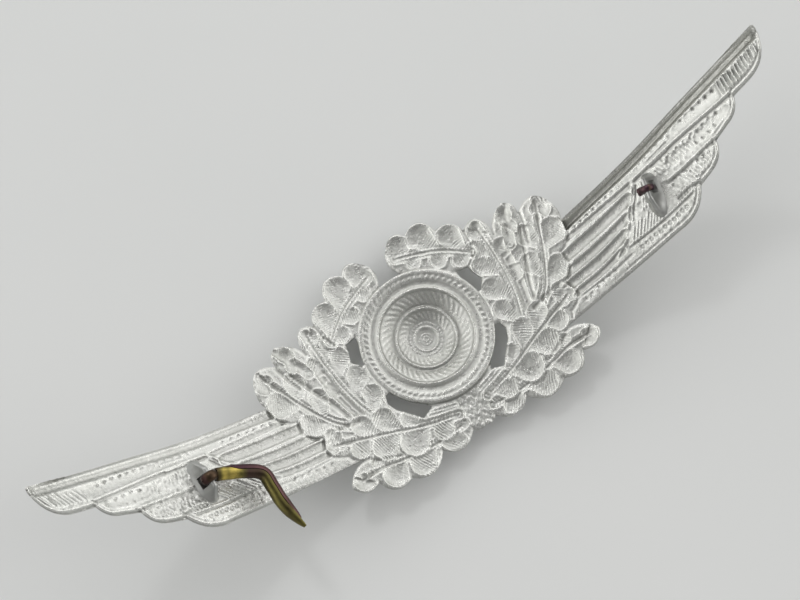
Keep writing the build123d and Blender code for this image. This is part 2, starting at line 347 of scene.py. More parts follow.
        lip = LEAF_LIP * np.exp(-((inside + 0.02) / 0.19) ** 2)
        self.rim = np.maximum(self.rim * (1 - cover), lip)

    def height(self):
        """Height of the back surface, all work together."""
        return self.fine + self.rim - self.depth


# ---------------------------------------------------------------- wreath and wings

def carve_leaves(r):
    """The leaves of one half wreath. Lobes are (s, y, radius, depth, how smooth)."""
    r.leaf([(15.2, 9.6), (15.2, 5.0), (14.9, 1.0), (14.3, -2.5), (13.2, -5.8)], [
        (15.2, 9.0, 1.75, 0.42, 0.8), (13.3, 6.7, 1.5, 0.25, 0.1), (12.8, 4.1, 1.6, 0.25, 0.1),
        (12.0, 0.4, 1.7, 0.28, 0.0), (11.7, -3.1, 1.6, 0.3, 0.0), (16.6, 4.7, 1.6, 0.35, 0.2),
        (16.4, 0.6, 1.3, 0.3, 0.9),
    ], stem=(0.9, 1.2))
    r.groove([(16.3, 3.4), (16.0, 0.0), (15.3, -3.2), (14.9, -4.9)], (1.0, 0.8), 0.42, clean=True)
    r.leaf([(2.4, 12.4), (5.2, 11.4), (8.0, 10.2), (10.3, 8.7), (12.6, 6.8)], [
        (3.6, 13.3, 2.15, 0.36, 0.8), (7.3, 13.0, 2.2, 0.4, 0.75), (11.1, 10.7, 1.9, 0.36, 0.5),
        (4.6, 10.6, 1.3, 0.18, 0.0), (7.9, 8.7, 1.4, 0.2, 0.0), (10.7, 6.9, 1.4, 0.22, 0.0),
    ], stem=(0.9, 0.9))
    r.leaf([(24.6, 7.4), (23.3, 4.8), (22.0, 1.8), (20.4, -1.3), (18.6, -4.0), (16.6, -5.6)], [
        (24.5, 6.5, 1.95, 0.5, 0.5), (24.2, 2.4, 2.1, 0.38, 0.3), (22.0, -2.5, 1.9, 0.34, 0.2),
        (20.7, 4.2, 1.7, 0.28, 0.1), (18.9, 0.4, 1.6, 0.28, 0.1),
    ], stem=(0.5, 1.0))
    r.leaf([(20.7, 9.8), (19.9, 8.3), (18.9, 6.4), (18.0, 4.4)], [
        (20.0, 8.5, 1.7, 0.55, 1.0), (19.2, 6.6, 1.35, 0.45, 0.8),
    ], stem=(0.6, 0.9), rib=0.0)
    r.leaf([(20.6, -13.2), (17.0, -13.0), (13.5, -13.6), (8.0, -14.3), (2.6, -14.0)], [
        (19.7, -13.2, 1.75, 0.52, 0.9), (15.3, -14.9, 1.9, 0.42, 0.9), (10.7, -15.5, 2.1, 0.32, 0.25),
        (5.1, -15.0, 2.0, 0.3, 0.3), (16.4, -12.1, 1.2, 0.28, 0.1),
    ], slope=0.7)
    r.leaf([(21.2, -6.6), (16.5, -8.0), (12.0, -9.5), (8.0, -11.0), (2.6, -12.4)], [
        (20.1, -6.7, 1.9, 0.38, 0.5), (15.6, -6.2, 1.6, 0.3, 0.3), (12.4, -7.2, 1.8, 0.28, 0.1),
        (9.0, -9.2, 1.5, 0.32, 0.8), (10.1, -12.3, 2.3, 0.36, 0.9), (14.3, -10.7, 2.0, 0.32, 0.3),
        (17.5, -9.0, 1.6, 0.28, 0.2), (5.6, -13.2, 1.6, 0.24, 0.0),
    ], slope=0.7)


def carve_leaf_edges(r):
    """Creases between the leaves and the ribbed roll below the cockade."""
    for path, width, height in (
        ([(20.6, 5.6), (18.6, 1.2), (17.2, -1.8), (16.4, -4.4)], 0.32, -0.3),
        ([(13.4, 10.2), (13.2, 8.2), (12.3, 6.0)], 0.22, -0.2),
        ([(21.8, 7.4), (21.3, 5.6), (20.4, 3.2)], 0.25, -0.25),
        ([(15.6, -5.4), (18.4, -4.9), (20.6, -4.8)], 0.35, -0.3),
        ([(12.6, -13.0), (14.6, -12.5), (17.2, -11.4)], 0.25, -0.2),
    ):
        r.stroke(path, width, height)
    for shift in (-0.55, 0.0, 0.55):
        r.stroke([(2.0, -11.3 + shift), (4.4, -10.6 + shift), (6.6, -9.9 + shift)], 0.2, 0.12)
    r.beads([(2.3, -12.3), (4.4, -11.9), (6.6, -11.2)], 0.6, 0.22, 0.12)


def carve_knot(r):
    """Mottled crossing ribs where the two halves meet below the cockade."""
    w = r.window([(0, -15.9), (2.3, -10.4)], 0)
    s, y = r.s[w], r.y[w]
    fade = ease((2.3 - s) / 0.5)
    ribs = np.cos(2 * np.pi * (s / 0.9)) * np.cos(2 * np.pi * (y / 1.0 + 0.2 * mottle(s.shape, 6, r.rng)))
    r.fine[w] += fade * (0.03 * ribs + 0.09 * mottle(s.shape, 4, r.rng))


COVERTS = [
    # inner, middle and outer point, half width and depth
    ((22.0, -0.1), (31.0, 0.55), (37.6, 0.95), 0.42, 0.22),
    ((21.0, -2.2), (30.0, -1.35), (36.2, -0.55), 0.85, 0.42),
    ((20.0, -4.25), (28.0, -3.65), (34.6, -2.7), 0.7, 0.36),
    ((20.0, -5.9), (27.5, -5.35), (32.8, -4.35), 0.75, 0.4),
    ((20.0, -7.5), (27.0, -6.95), (31.2, -6.2), 0.5, 0.3),
]
# The two wings aren't struck alike: left is -1 and right is 1.
CHANNEL_DEPTH = {-1: 0.5, 1: 1.1}
LEADING_CHANNEL = [(21.0, 1.0), (30.0, 2.2), (40.0, 3.3), (50.0, 4.75), (60.0, 5.75), (66.0, 6.15)]


def carve_coverts(r):
    """Long flutes of the inner wing, ending in a stepped row of rounded tips."""
    r.groove(LEADING_CHANNEL, (1.4, 1.7), CHANNEL_DEPTH[r.side], power=1.6, steep=2.4)
    for inner, middle, outer, half_width, depth in COVERTS:
        r.groove([inner, middle, outer], half_width, depth, power=0.55)
        upper = [(s, y + half_width) for s, y in (inner, middle, outer)]
        r.stroke(upper, 0.13, 0.07)
    r.stroke([(37.8, 0.9), (36.7, -0.6), (35.4, -1.7), (34.3, -3.2), (32.5, -5.1), (30.0, -6.6)], 0.2, 0.2)
    r.stroke([(38.4, 0.3), (37.4, -1.0), (36.2, -2.2), (35.2, -3.6)], 0.16, -0.16)
    r.stroke([(22.0, -8.1), (28.0, -7.95), (32.0, -7.5)], 0.16, -0.14)
    r.beads([(22.8, -8.9), (26.0, -8.35), (28.9, -7.95)], 1.2, 0.24, -0.18)


def carve_second_tier(r):
    """Barbed feathers between the coverts and the stepped tips."""
    r.groove([(36.4, -2.4), (39.0, -2.3)], 0.45, 0.14)
    r.barbs([(33.0, -6.2), (35.5, -6.2), (38.8, -6.0)], 0.62, 2.2, 1.9, 0.15, 0.18)
    r.barbs([(37.0, -3.2), (39.2, -3.0)], 0.56, 1.8, 1.3, 0.13, 0.13)
    r.stroke([(32.4, -6.5), (38.0, -6.35), (44.6, -5.7)], 0.14, -0.16)
    r.stroke([(32.6, -6.2), (38.0, -6.05), (44.6, -5.4)], 0.14, 0.12)
    r.beads([(34.0, -7.5), (38.5, -7.2), (43.6, -6.6)], 0.88, 0.24, -0.17, ring=True)
    r.beads([(33.9, -6.75), (38.3, -6.7)], 0.9, 0.2, -0.13)
    r.beads([(36.4, -8.2), (41.5, -7.75), (44.4, -7.0)], 1.3, 0.2, -0.1)


# Barbs and dots are fainter on the left wing, and its feather ends roll over more.
BARB_LEAN = {-1: 1.3, 1: 0.35}
BARB_CRISP = {-1: 0.5, 1: 1.0}
BARB_START = {-1: 59.0, 1: 56.8}
DOT_DEPTH = {-1: 0.65, 1: 1.0}
END_ROLL = {-1: 0.42, 1: 0.2}
END_GROOVE = (0.72, 0.15, 0.13)   # distance from the edge, half width and depth
FEATHER_RIDGES = [
    # shaft lines that part the long feathers
    [(38.5, 1.35), (42.0, 1.7), (48.0, 2.15), (58.0, 2.35)],
    [(42.6, -1.9), (46.0, -1.7), (50.0, -1.35), (52.4, -1.2)],
    [(42.4, -4.6), (44.6, -4.4), (46.6, -4.6)],
]


def carve_feathers(r):
    """Four long feathers with shafts, barbs and rows of dots."""
    for ridge in FEATHER_RIDGES:
        r.stroke(ridge, 0.2, 0.2)
        r.stroke([(s, y - 0.5) for s, y in ridge], 0.22, -0.18)
    r.stroke([(41.4, 1.25), (43.5, 1.45), (45.2, 1.65)], 0.14, 0.2)
    r.stroke([(41.8, 2.35), (43.5, 2.55), (45.4, 2.8)], 0.15, 0.14)
    r.groove([(47.0, 3.1), (54.0, 3.6), (60.0, 4.0), (63.5, 4.4)], (0.8, 1.1), (0.1, 0.22), power=1)
    r.groove([(44.5, 0.1), (50.0, 0.4), (55.8, 0.9)], (0.9, 1.0), 0.2, power=1)
    r.groove([(43.5, -3.0), (47.0, -3.0), (50.2, -2.8)], (0.9, 0.9), 0.2, power=1)
    for row, pitch, size, depth in (
        ([(27.3, 0.85), (30.5, 1.3), (36.0, 1.9)], 1.3, 0.22, -0.24),
        ([(40.5, 2.7), (47.3, 3.7), (56.5, 4.1)], 1.3, 0.24, -0.28),
        ([(50.5, 4.6), (56.5, 4.85)], 1.7, 0.2, -0.18),
        ([(50.6, 0.9), (52.4, 1.35), (54.8, 1.2)], 1.35, 0.24, -0.28),
        ([(49.4, -0.3), (52.7, -0.1), (54.0, 0.3)], 1.3, 0.2, -0.2),
        ([(43.6, 0.9), (47.0, 1.0), (50.0, 1.3)], 1.5, 0.2, -0.18),
        ([(44.6, -2.6), (47.6, -2.4), (50.2, -2.2)], 1.2, 0.2, -0.18),
    ):
        r.beads(row, pitch, size, depth * DOT_DEPTH[r.side])
    crisp = BARB_CRISP[r.side]
    tip_row = [(BARB_START[r.side], 2.75), (61.0, 2.8), (64.9, 3.9)]
    r.barbs(tip_row, 0.75, 2.1, BARB_LEAN[r.side], 0.19, 0.26 * crisp)
    r.barbs([(42.4, -0.6), (46.0, -0.4), (49.6, -0.2)], 0.62, 1.5, -0.5, 0.14, 0.13 * crisp)
    r.barbs([(41.8, -5.6), (44.2, -5.4), (46.0, -4.9)], 0.58, 1.4, 0.9, 0.13, 0.13)
    r.barbs([(45.0, -3.9), (48.0, -4.0), (50.8, -3.1)], 0.62, 1.4, -0.4, 0.14, 0.14 * crisp)
    r.barbs([(47.2, -4.2), (49.4, -3.8), (51.3, -2.8)], 0.7, 1.2, 0.8, 0.12, 0.1)
    w = r.window([(41.0, -5.5), (52.0, 1.5)], 0)
    patch = mottle(r.s[w].shape, 4, r.rng)
    s, y = r.s[w], r.y[w]
    fade = ease((52 - s) / 3) * ease((s - 41) / 1.5) * ease((1.5 - y) / 1.0) * ease((y + 5.5) / 1.0)
    r.fine[w] += 0.07 * patch * fade


def carve_half(side):
    """Height of the back and of the wreath over the wing, for one half."""
    r = Relief(side, seed=20 + side)
    wreath = signed_distance(r.s, r.y, wreath_loop())
    wing = signed_distance(r.s, r.y, wing_loop())
    feathers = Relief(side, seed=30 + side)
    carve_coverts(feathers)
    carve_second_tier(feathers)
    carve_feathers(feathers)
    wing_h = feathers.height()
    trailing = ease((feathers.s - 26) / 6) * (wing < 1.3) * (feathers.y < 7.2)
    groove_at, groove_w, groove_deep = END_GROOVE
    wing_h -= groove_deep * trailing * np.exp(-((wing - groove_at) / groove_w) ** 2)
    wing_h -= END_ROLL[side] * trailing * (1 - ease(wing / 0.65)) * (wing > -0.5)
    carve_leaves(r)
    carve_leaf_edges(r)
    carve_knot(r)
    over = ease((wreath + 0.15) / 0.35)
    h = r.height() * over + wing_h * (1 - over)
    h -= 0.15 * np.exp(-((wreath + 0.25) / 0.22) ** 2) * (wing > 0.3)
    outline = np.maximum(wreath, wing)
    for gap in (UPPER_GAP, LOWER_GAP):
        outline = np.minimum(outline, -signed_distance(r.s, r.y, np.array(gap)))
    grain = 0.012 * mottle(h.shape, 2, r.rng) + 0.02 * mottle(h.shape, 5, r.rng)
    return r, h + grain, outline


# ---------------------------------------------------------------- cockade

DISH_POINTS = [
    # radius and height of the turned profile, rim to middle
    (10.2, -0.12), (10.0, 0.0), (9.6, 0.0), (9.3, -0.12), (8.9, -0.1), (8.55, -0.2), (8.3, -0.38),
    (7.8, -0.42), (7.5, -0.25), (7.25, -0.04), (7.1, -0.12), (6.95, -0.45), (6.7, -0.55),
    (5.9, -1.1), (5.3, -1.6), (5.0, -1.9), (4.8, -1.82), (4.6, -1.62), (4.4, -1.72),
    (4.2, -2.0), (3.6, -2.35), (3.0, -2.7), (2.75, -2.85), (2.5, -2.83), (2.25, -2.9),
    (2.0, -2.92), (1.85, -2.8), (1.7, -2.95), (1.4, -3.1), (0, -3.12),
]


def cockade_height(s, y):
    """Height above the bent sheet of the turned, roped and beaded dish."""
    radius, turn = np.hypot(s, y), np.arctan2(y, s)
    rs, zs = np.array(DISH_POINTS[::-1]).T
    z = np.interp(radius, rs, zs)

    def ring(middle, width):
        return np.exp(-(((radius - middle) / width) ** 4))

    z += 0.045 * ring(9.05, 0.34) * np.cos(64 * turn + 1.6 * (radius - 9.05) / 0.4)
    z += 0.05 * ring(6.05, 0.72) * np.cos(42 * turn - 2.6 * (radius - 6.05) / 0.5)
    z += 0.05 * ring(3.6, 0.5) * np.cos(30 * turn - 2.4 * (radius - 3.6) / 0.45)
    z += 0.04 * ring(2.4, 0.16) * np.cos(34 * turn)
    z += 0.035 * ring(0.75, 0.7) * np.cos(2 * np.pi * radius / 0.42)
    bend = s / BEND_R
    return radius, (z + RIM_RISE - BEND_R * (1 - np.cos(bend))) * np.cos(bend)


# ---------------------------------------------------------------- sheet mesh

def sheet_grid():
    """Whole grid: arc length, height, back relief and outline distance."""
    half, right_h, right_d = carve_half(1)
    _, left_h, left_d = carve_half(-1)

    def join(left, right):
        return np.concatenate([left[:, :0:-1], right], axis=1)

    s, y = join(-half.s, half.s), join(half.y, half.y)
    h, outline = join(left_h, right_h), join(left_d, right_d)
    h -= EDGE_DROP * (1 - ease(outline / EDGE_ROLL))
    radius, dish_h = cockade_height(s, y)
    inside = ease((COCKADE_R + 0.1 - radius) / 0.2)
    h = h * (1 - inside) + dish_h * inside
    h = blur(h)
    wall = SHEET_T - 0.12 * ease((-h - 0.3) / 0.8) * (radius > COCKADE_R)
    wall += 0.3 * ease((radius - 8.0) / 0.5) * inside
    outline = np.maximum(outline, COCKADE_R - radius)
    return s, y, h, wall, outline


def snap_to_outline(s, y, outline, cells):
    """Moves the outer corners of the kept cells onto the outline."""
    slope_y, slope_s = np.gradient(outline, STEP)
    steep = np.maximum(np.hypot(slope_s, slope_y), 0.3)
    corner = np.zeros(s.shape, bool)
    for rows, cols in ((slice(None, -1), slice(None, -1)), (slice(1, None), slice(None, -1)),
                       (slice(None, -1), slice(1, None)), (slice(1, None), slice(1, None))):
        corner[rows, cols] |= cells
    near = corner & (outline < STEP * 0.35)
    shift = np.where(near, outline / steep ** 2, 0)
    shift = np.clip(shift, -STEP * 1.1, STEP * 1.1)
    return s - shift * slope_s, y - shift * slope_y, corner


def keep_cells(outline):
    """Grid cells that belong to the sheet, with corner-only contacts filled."""
    inside = outline > 0
    votes = inside[:-1, :-1].astype(int) + inside[1:, :-1] + inside[:-1, 1:] + inside[1:, 1:]
    cells = votes >= 2
    for _ in range(3):
        a, b, c, d = cells[:-1, :-1], cells[:-1, 1:], cells[1:, :-1], cells[1:, 1:]
        first, second = a & d & ~b & ~c, b & c & ~a & ~d
        b |= first
        a |= second
    return cells


def bend(s, y, h):
    """Points of the flat relief on the bent sheet, in metres. Relief is raised straight up."""
    turn = s / BEND_R
    z = BEND_R * (1 - np.cos(turn)) - RIM_RISE + h / np.cos(turn)
    return np.stack([BEND_R * np.sin(turn), y, z], axis=-1) * MM


def new_mesh(name, verts, faces, attributes=None):
    """Mesh object from arrays, with optional point attributes."""
    mesh = bpy.data.meshes.new(name)
    mesh.from_pydata([tuple(v) for v in verts], [], [tuple(f) for f in faces])
    for key, values in (attributes or {}).items():
        layer = mesh.attributes.new(key, "FLOAT", "POINT")
        layer.data.foreach_set("value", np.asarray(values, np.float32))
    mesh.shade_smooth()
    mesh.validate()
    obj = bpy.data.objects.new(name, mesh)
    bpy.context.scene.collection.objects.link(obj)
    return obj


def build_sheet():
    """Closed struck sheet: back relief, matching front and the cut edge between them."""
    s, y, h, wall, outline = sheet_grid()
    cells = keep_cells(outline)
    s, y, used = snap_to_outline(s, y, outline, cells)
    index = np.full(s.shape, -1)
    index[used] = np.arange(used.sum())
    count = int(used.sum())
    back = bend(s[used], y[used], h[used])
    front = bend(s[used], y[used], (h - wall)[used])
    i, j = np.nonzero(cells)
    quads = np.stack([index[i, j], index[i, j + 1], index[i + 1, j + 1], index[i + 1, j]], axis=1)
    edges = np.concatenate([quads[:, [k, (k + 1) % 4]] for k in range(4)])
    ordered = np.sort(edges, axis=1)
    _, first, times = np.unique(ordered, axis=0, return_index=True, return_counts=True)
    rim = edges[first[times == 1]]
    sides = np.stack([rim[:, 1], rim[:, 0], rim[:, 0] + count, rim[:, 1] + count], axis=1)
    faces = np.concatenate([quads, quads[:, ::-1] + count, sides])
    soft = h.copy()
    for _ in range(6):
        soft[1:-1, 1:-1] = (soft[:-2, 1:-1] + soft[2:, 1:-1] + soft[1:-1, :-2] + soft[1:-1, 2:]) / 4
    cavity = np.concatenate([(h - soft)[used], (soft - h)[used]])
    # Painted shade mark: depth into the back, and 0.4 over the cockade's dish, which the material turns
    # into darker colour.
    hollow = np.concatenate([np.where(np.hypot(s, y) > COCKADE_R, -h, 0.4)[used], np.zeros(count)])
    marks = {"cavity": cavity, "hollow": hollow}
    obj = new_mesh("struck_sheet", np.concatenate([back, front]), faces, marks)
    obj.data.set_sharp_from_angle(angle=math.radians(60))
    return obj


# ---------------------------------------------------------------- lugs

def lug_matrix(side):
    """Frame of a lug: foot on the sheet's back, ridge along y, z out of the back."""
    s, y = LUG_SPOT[side]
    turn = side * s / BEND_R
    spot = Vector((BEND_R * math.sin(turn), y, BEND_R * (1 - math.cos(turn)) - RIM_RISE)) * MM
    tilt = Matrix.Rotation(-turn, 4, "Y") @ Matrix.Rotation(LUG_TURN[side], 4, "Z")
    return Matrix.Translation(spot) @ tilt @ Matrix.Scale(MM, 4)


def lug_section(y, t, window_y):
    """Point of the pinched tent at y, where t runs from -1 over the crest to 1."""
    reach = LUG_LENGTH / 2
    lower = (y + reach) / (window_y - CREST_HALF + reach)
    upper = (reach - y) / (reach - window_y - CREST_HALF)
    rise = max(0.0, min(1.0, lower, upper)) ** 0.85
    half = LUG_WIDTH / 2 * (0.45 + 0.55 * (1 - abs(y / reach) ** 4))
    ridge = 0.3 * min(1.0, 3 * rise)
    out = max(0.0, abs(t) - CREST_SHARE) / (1 - CREST_SHARE)
    x = ridge * min(1.0, abs(t) / CREST_SHARE) + (half - ridge) * out ** 1.25
    z = (LUG_HEIGHT * rise + LUG_SUNK) * (1 - out) ** 1.5 - LUG_SUNK
    return (math.copysign(x, t), y, z)


def build_lug(name, side, rows=44, cols=29):
    """Pinched tent of sheet metal with a window under its crest."""
    ys = np.linspace(-LUG_LENGTH / 2, LUG_LENGTH / 2, rows)
    ts = np.linspace(-1, 1, cols)
    window_y = WINDOW_Y[side]
    verts = [lug_section(float(y), float(t), window_y) for y in ys for t in ts]
    grid = np.arange(rows * cols).reshape(rows, cols)
    inner_rows = [k for k in range(rows - 1) if abs((ys[k] + ys[k + 1]) / 2 - window_y) < WINDOW_W / 2]
    heights = [lug_section(window_y, float(t), window_y)[2] for t in ts]
    top = LUG_HEIGHT - BAR_T
    open_cols = [k for k in range(cols - 1) if WINDOW_FLOOR < (heights[k] + heights[k + 1]) / 2 < top]
    left = [k for k in open_cols if ts[k] < 0]
    faces = []
    for i in range(rows - 1):
        for j in range(cols - 1):
            if not (i in inner_rows and j in open_cols):
                faces.append((grid[i, j], grid[i, j + 1], grid[i + 1, j + 1], grid[i + 1, j]))
    lo_r, hi_r, lo_c, hi_c = inner_rows[0], inner_rows[-1] + 1, left[0], left[-1] + 1
    loop = [(lo_r, c) for c in range(lo_c, hi_c)] + [(r, hi_c) for r in range(lo_r, hi_r)]
    loop += [(hi_r, c) for c in range(hi_c, lo_c, -1)] + [(r, lo_c) for r in range(hi_r, lo_r, -1)]
    for (ra, ca), (rb, cb) in zip(loop, loop[1:] + loop[:1]):
        faces.append((grid[rb, cb], grid[ra, ca], grid[ra, cols - 1 - ca], grid[rb, cols - 1 - cb]))
    for i in range(rows - 1):
        faces.append((grid[i, 0], grid[i + 1, 0], grid[i + 1, cols - 1], grid[i, cols - 1]))
    faces.append(tuple(grid[0, ::-1]))
    faces.append(tuple(grid[-1, :]))
    obj = new_mesh(name, verts, faces)
    obj.data.transform(lug_matrix(side))
    obj.data.set_sharp_from_angle(angle=math.radians(50))
    return obj


# ---------------------------------------------------------------- split pins

PIN_LINE = [
    (0.8, WINDOW_Y[-1], BAR_Z), (4.0, -1.6, BAR_Z + 0.7), (6.9, -3.4, BAR_Z + 1.1),
    (7.1, -6.0, BAR_Z + 1.2), (7.1, -8.4, BAR_Z + 1.2), (7.7, -10.9, BAR_Z + 1.2),
    (8.25, -13.0, BAR_Z + 1.25),
]
EYE_OPEN = math.radians(38)
WIRE_HALF = {True: 0.78, False: 0.5}   # half width of a whole and of a snapped pin's eye
STUB_END = 1.25   # where the snapped legs end, from the bar
SHORT_LEG = 6     # stations that one leg is shorter than the other


def unit(v):
    return v / np.linalg.norm(v)


def pin_stations(window_y, whole):
    """Stations from a leg's end, round the eye and out along the other: point, outward, width, depth."""
    if whole:
        line = smooth(PIN_LINE, 10)
    else:
        line = np.linspace((PIN_LINE[0][0], window_y, BAR_Z), (STUB_END, window_y - 0.05, BAR_Z - 0.1), 4)
    legs = []
    for leg in (1, -1):
        run = []
        total = len(line) - 1 - (SHORT_LEG if whole and leg > 0 else 0)
        for k, p in enumerate(line[:total + 1]):
            ahead = unit(line[min(k + 1, total)] - line[max(k - 1, 0)])
            beside = unit(np.cross((0, 0, 1), ahead))
            above = np.cross(ahead, beside)
            twist = -math.pi / 2 * (1 - float(ease(k / 11)))
            out = leg * (math.cos(twist) * beside + math.sin(twist) * above)
            grow = float(ease((k + 2) / 4)) if whole else 0.2
            tip = float(np.clip((total - k) / 13, 0, 1)) ** 0.75 if whole else 1.0
            taper = 0.3 + 0.7 * tip
            width = taper * (WIRE_HALF[whole] + (PIN_R - WIRE_HALF[whole]) * grow)
            depth = taper * (EYE_WIRE_T[whole] + (PIN_R - EYE_WIRE_T[whole]) * grow)
            spread = PIN_GAP / 2 + LEG_LEAN * float(ease((k - 30) / 30))
            run.append((p + out * spread, out, width, depth))
        legs.append(run)
    eye = []
    bar = np.array((0, window_y, BAR_Z))
    for a in np.linspace(2 * math.pi - EYE_OPEN, EYE_OPEN, 25):
        out = np.array((math.cos(a), 0, math.sin(a)))
        eye.append((bar + EYE_INNER_R * out, out, WIRE_HALF[whole], EYE_WIRE_T[whole]))
    return legs[0][::-1] + eye + legs[1]


def build_pin(name, side, whole):
    """Half-round wire folded round the bar into an eye and two legs, as one closed sweep."""
    stations = pin_stations(WINDOW_Y[side], whole)
    if side > 0:
        flip = np.array((-1, 1, 1))
        stations = [(p * flip, out * flip, w, d) for p, out, w, d in stations]
    points = np.array([p for p, _, _, _ in stations])
    sides = 14
    verts, leg, run = [], [], []
    middle = len(stations) // 2
    rng = np.random.default_rng(5)
    for k, (p, out, width, depth) in enumerate(stations):
        ahead = unit(points[min(k + 1, len(points) - 1)] - points[max(k - 1, 0)])
        out = unit(out - ahead * (out @ ahead))
        across = np.cross(ahead, out)
        for a in np.linspace(0, math.pi, sides):
            q = p + across * width * math.cos(a) + out * depth * math.sin(a) ** 0.8
            if not whole and k in (0, len(stations) - 1):
                q = q + ahead * rng.uniform(-0.2, 0.2)
            verts.append(q)
            leg.append(float(k > middle))
            run.append(abs(k - middle) / middle)
    faces = []
    for k in range(len(stations) - 1):
        a, b = k * sides, (k + 1) * sides
        for m in range(sides):
            n = (m + 1) % sides
            faces.append((a + m, a + n, b + n, b + m))
    last = (len(stations) - 1) * sides
    faces.append(tuple(range(sides - 1, -1, -1)))
    faces.append(tuple(range(last, last + sides)))
    if side > 0:
        faces = [f[::-1] for f in faces]
    obj = new_mesh(name, verts, faces, {"leg": leg, "run": run})
    obj.data.transform(lug_matrix(side))
    obj.data.set_sharp_from_angle(angle=math.radians(48))
    return obj


# ---------------------------------------------------------------- materials

def add_node(tree, kind, **settings):
    """New node in a tree, with its settings."""
    made = tree.nodes.new(kind)
    for key, value in settings.items():
        setattr(made, key, value)
    return made


def set_stops(ramp, stops):
    """Fills a colour ramp with places and their greys or colours."""
    band = ramp.color_ramp
    while len(band.elements) < len(stops):
        band.elements.new(0.5)
    for element, (place, value) in zip(band.elements, stops):
        element.position = place
        element.color = (*value, 1) if isinstance(value, tuple) else (value, value, value, 1)


class Shader:
    """Small helper for building a node material."""

    def __init__(self, name):
        self.material = bpy.data.materials.new(name)
        self.material.use_nodes = True
        self.tree = self.material.node_tree
        self.base = self.tree.nodes["Principled BSDF"]
        self.where = self.node("ShaderNodeTexCoord").outputs["Object"]

    def node(self, kind, **settings):
        return add_node(self.tree, kind, **settings)

    def link(self, source, target):
        self.tree.links.new(source, target)

    def noise(self, scale, detail=4.0, rough=0.55, stretch=None):
        made = self.node("ShaderNodeTexNoise")
        made.inputs["Scale"].default_value = scale
        made.inputs["Detail"].default_value = detail
        made.inputs["Roughness"].default_value = rough
        source = self.where
        if stretch:
            mapping = self.node("ShaderNodeMapping")
            mapping.inputs["Scale"].default_value = stretch
            self.link(source, mapping.inputs["Vector"])
            source = mapping.outputs["Vector"]
        self.link(source, made.inputs["Vector"])
        return made.outputs["Fac"]

    def ramp(self, source, stops):
        made = self.node("ShaderNodeValToRGB")
        set_stops(made, stops)
        self.link(source, made.inputs["Fac"])
        return made.outputs["Color"]

    def attribute(self, name):
        return self.node("ShaderNodeAttribute", attribute_name=name).outputs["Fac"]

    def remap(self, source, low, high, to_low=0.0, to_high=1.0):
        made = self.node("ShaderNodeMapRange")
        for key, value in (("From Min", low), ("From Max", high), ("To Min", to_low), ("To Max", to_high)):
            made.inputs[key].default_value = value
        self.link(source, made.inputs["Value"])
        return made.outputs["Result"]

    def mix(self, fac, a, b, mode="MIX"):
        made = self.node("ShaderNodeMix", data_type="RGBA", blend_type=mode)
        for socket, value in ((made.inputs["Factor"], fac), (made.inputs["A"], a), (made.inputs["B"], b)):
            if isinstance(value, bpy.types.NodeSocket):
                self.link(value, socket)
            else:
                socket.default_value = value
        return made.outputs["Result"]

    def bump(self, source, strength, distance):
        made = self.node("ShaderNodeBump")
        made.inputs["Strength"].default_value = strength
        made.inputs["Distance"].default_value = distance
        self.link(source, made.inputs["Height"])
        if self.base.inputs["Normal"].links:
            self.link(self.base.inputs["Normal"].links[0].from_socket, made.inputs["Normal"])
        self.link(made.outputs["Normal"], self.base.inputs["Normal"])


def struck_aluminium():
    """Bright satin aluminium with a frosted grain; painted shade and grime darken the pits, painted shade
    darkens deep hollows and the cockade, and the ridges are smoother from wear.
    """
    m = Shader("struck_aluminium")
    m.base.inputs["Metallic"].default_value = 1.0
    cloud = m.ramp(m.noise(260, 5), [(0.3, (0.6, 0.605, 0.575)), (0.7, (0.72, 0.72, 0.695))])
    # Painted shade with some grime: the colour goes to dark grey where the cavity attribute marks pits.
    pit_shade_and_grime = m.remap(m.attribute("cavity"), -0.1, 0.02)
    colour = m.mix(pit_shade_and_grime, (0.3, 0.3, 0.285, 1), cloud)
    # Painted shade: deep hollows, and the cockade's dish a little, are darkened in colour.
    deep = m.remap(m.attribute("hollow"), 0.25, 1.1, 0.0, 0.65)
    colour = m.mix(deep, colour, (0.38, 0.38, 0.35, 1))
    m.link(colour, m.base.inputs["Base Color"])
    wear_and_highlight = m.remap(m.attribute("cavity"), -0.08, 0.1, 0.36, 0.18)
    patch = m.remap(m.noise(900, 3), 0.3, 0.7, -0.06, 0.08)
    add = m.node("ShaderNodeMath", operation="ADD")
    m.link(wear_and_highlight, add.inputs[0])
    m.link(patch, add.inputs[1])
    m.link(add.outputs[0], m.base.inputs["Roughness"])
    m.bump(m.noise(1700, 5, 0.65), 0.6, 0.0002)
    m.bump(m.noise(5200, 3, 0.6), 0.7, 0.00007)
    return m.material


def lug_aluminium():
    """Smoother drawn strip, faintly brushed, toned darker grey than the sheet all over."""
    m = Shader("lug_aluminium")
    m.base.inputs["Metallic"].default_value = 1.0
    tone = m.ramp(m.noise(420, 4), [(0.3, (0.33, 0.335, 0.325)), (0.7, (0.5, 0.5, 0.485))])
    m.link(tone, m.base.inputs["Base Color"])
    m.link(m.remap(m.noise(700, 3), 0.3, 0.7, 0.3, 0.46), m.base.inputs["Roughness"])
    m.bump(m.noise(900, 4, 0.5, stretch=(1, 0.15, 1)), 0.25, 0.0001)
    return m.material


